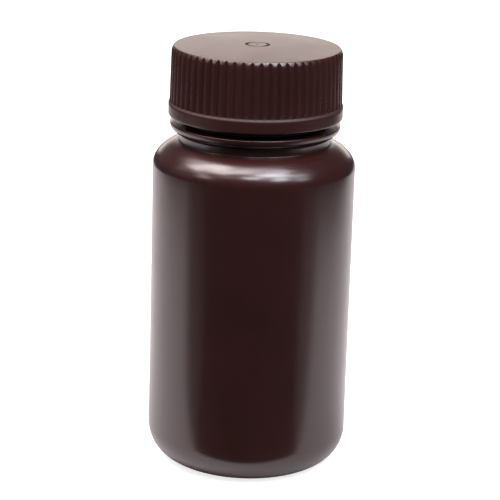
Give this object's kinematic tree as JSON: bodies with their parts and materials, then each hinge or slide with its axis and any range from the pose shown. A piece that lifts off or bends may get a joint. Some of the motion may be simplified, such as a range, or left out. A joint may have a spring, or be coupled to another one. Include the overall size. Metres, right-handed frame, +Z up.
{
  "type": "wide-mouth storage bottle",
  "caption": "Small dark brown wide-mouth laboratory bottle with a round shoulder, a neck bead and a ribbed screw cap over a sealing disc.",
  "frame": {"origin": "centre of the flat ring that the bottle stands on, at floor level", "axes": "+Z up the bottle's axis, out of its mouth; -Y faces the viewer"},
  "size_m": [0.05, 0.05, 0.1059],
  "materials": {
    "bottle_plastic": "opaque dark brown polyethylene with a satin blown surface",
    "disc_foam": "off-white closed-cell polyethylene foam",
    "cap_plastic": "opaque dark brown polypropylene with a satin moulded surface"
  },
  "bodies": {
    "bottle_body": {"bottle": "bottle_plastic"},
    "disc_body": {"sealing_disc": "disc_foam"},
    "cap_body": {"screw_cap": "cap_plastic"}
  },
  "joints": [
    {"name": "cap_lift", "type": "slide", "parent": "bottle_body", "child": "disc_body", "axis": [0, 0, 1], "range_m": [0, 0.03384]},
    {"name": "cap_turn", "type": "hinge", "parent": "disc_body", "child": "cap_body", "pos_m": [0, 0, 0.1038], "axis": [0, 0, 1], "range_deg": [0, 2880]}
  ],
  "couplings": [
    {"joint": "cap_lift", "follows": "cap_turn", "m_per_rad": 0.00067322}
  ]
}
